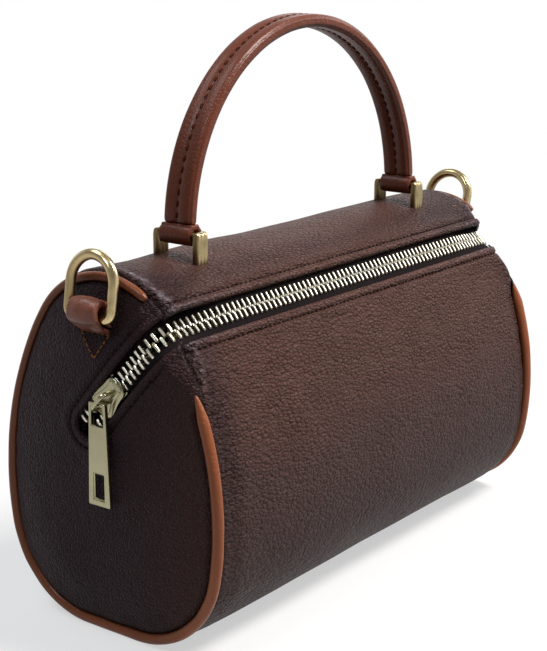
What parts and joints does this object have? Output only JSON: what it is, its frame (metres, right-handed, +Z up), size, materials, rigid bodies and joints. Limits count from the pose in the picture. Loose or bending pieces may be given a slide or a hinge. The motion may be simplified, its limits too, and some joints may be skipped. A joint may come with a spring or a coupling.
{
  "type": "barrel bag",
  "caption": "Small leather barrel bag with piped ends, a metal zip that wraps onto both ends, an arched top handle on two metal rings, and a strap ring on each end.",
  "frame": {"origin": "middle of the flat base", "axes": "+X along the bag, away from the end where the zip closes, +Y to the back, away from the zip, +Z up"},
  "size_m": [0.2472, 0.1042, 0.2189],
  "materials": {
    "body_leather": "pebbled, soft sheen",
    "end_leather": "pebbled, soft sheen",
    "tan_leather": "smooth, soft sheen",
    "tab_leather": "smooth, soft sheen",
    "handle_leather": "smooth, soft sheen",
    "lining_cloth": "matte",
    "board": "matte",
    "zip_tape": "matte",
    "zip_metal": "polished",
    "pale_gold": "polished",
    "antique_gold": "polished",
    "plain_steel": "satin",
    "handle_core": "matte"
  },
  "bodies": {
    "bag": {"body_wrap": "body_leather", "left_end_panel": "end_leather", "right_end_panel": "end_leather", "left_piping": "tan_leather", "right_piping": "tan_leather", "lining": "lining_cloth", "base_board": "board", "front_zip_tape": "zip_tape", "back_zip_tape": "zip_tape", "front_zip_teeth": "zip_metal", "back_zip_teeth": "zip_metal", "zip_top_stops": "zip_metal", "zip_bottom_stop": "zip_metal", "left_handle_ring": "antique_gold", "right_handle_ring": "antique_gold", "left_ring_plate": "plain_steel", "right_ring_plate": "plain_steel", "ring_screws": "plain_steel", "left_d_ring_tab": "tab_leather", "right_d_ring_tab": "tab_leather"},
    "slider": {"slider_body": "pale_gold", "slider_bail": "pale_gold"},
    "pull": {"zip_pull": "pale_gold"},
    "left_d_ring": {"left_d_ring": "antique_gold"},
    "right_d_ring": {"right_d_ring": "antique_gold"},
    "handle": {"handle_cover": "handle_leather", "handle_core": "handle_core", "left_handle_loop": "handle_leather", "right_handle_loop": "handle_leather"}
  },
  "joints": [
    {"name": "zip_slide", "type": "slide", "parent": "bag", "child": "slider", "axis": [0.0369, -0.649, 0.7599], "range_m": [-0.013, 0.016], "deforming": ["front_zip_teeth", "back_zip_teeth"]},
    {"name": "zip_pull_lift", "type": "hinge", "parent": "slider", "child": "pull", "pos_m": [-0.11819, -0.00315, 0.09004], "axis": [0, 1, 0], "range_deg": [0, 100]},
    {"name": "left_d_ring_swing", "type": "hinge", "parent": "bag", "child": "left_d_ring", "pos_m": [-0.11789, 0, 0.121], "axis": [0, -1, 0], "range_deg": [-8, 120]},
    {"name": "right_d_ring_swing", "type": "hinge", "parent": "bag", "child": "right_d_ring", "pos_m": [0.11789, 0, 0.121], "axis": [0, 1, 0], "range_deg": [-30, 100]},
    {"name": "handle_tilt", "type": "hinge", "parent": "bag", "child": "handle", "pos_m": [0, -0.003, 0.1434], "axis": [1, 0, 0], "range_deg": [-3.5, 3.5]}
  ]
}
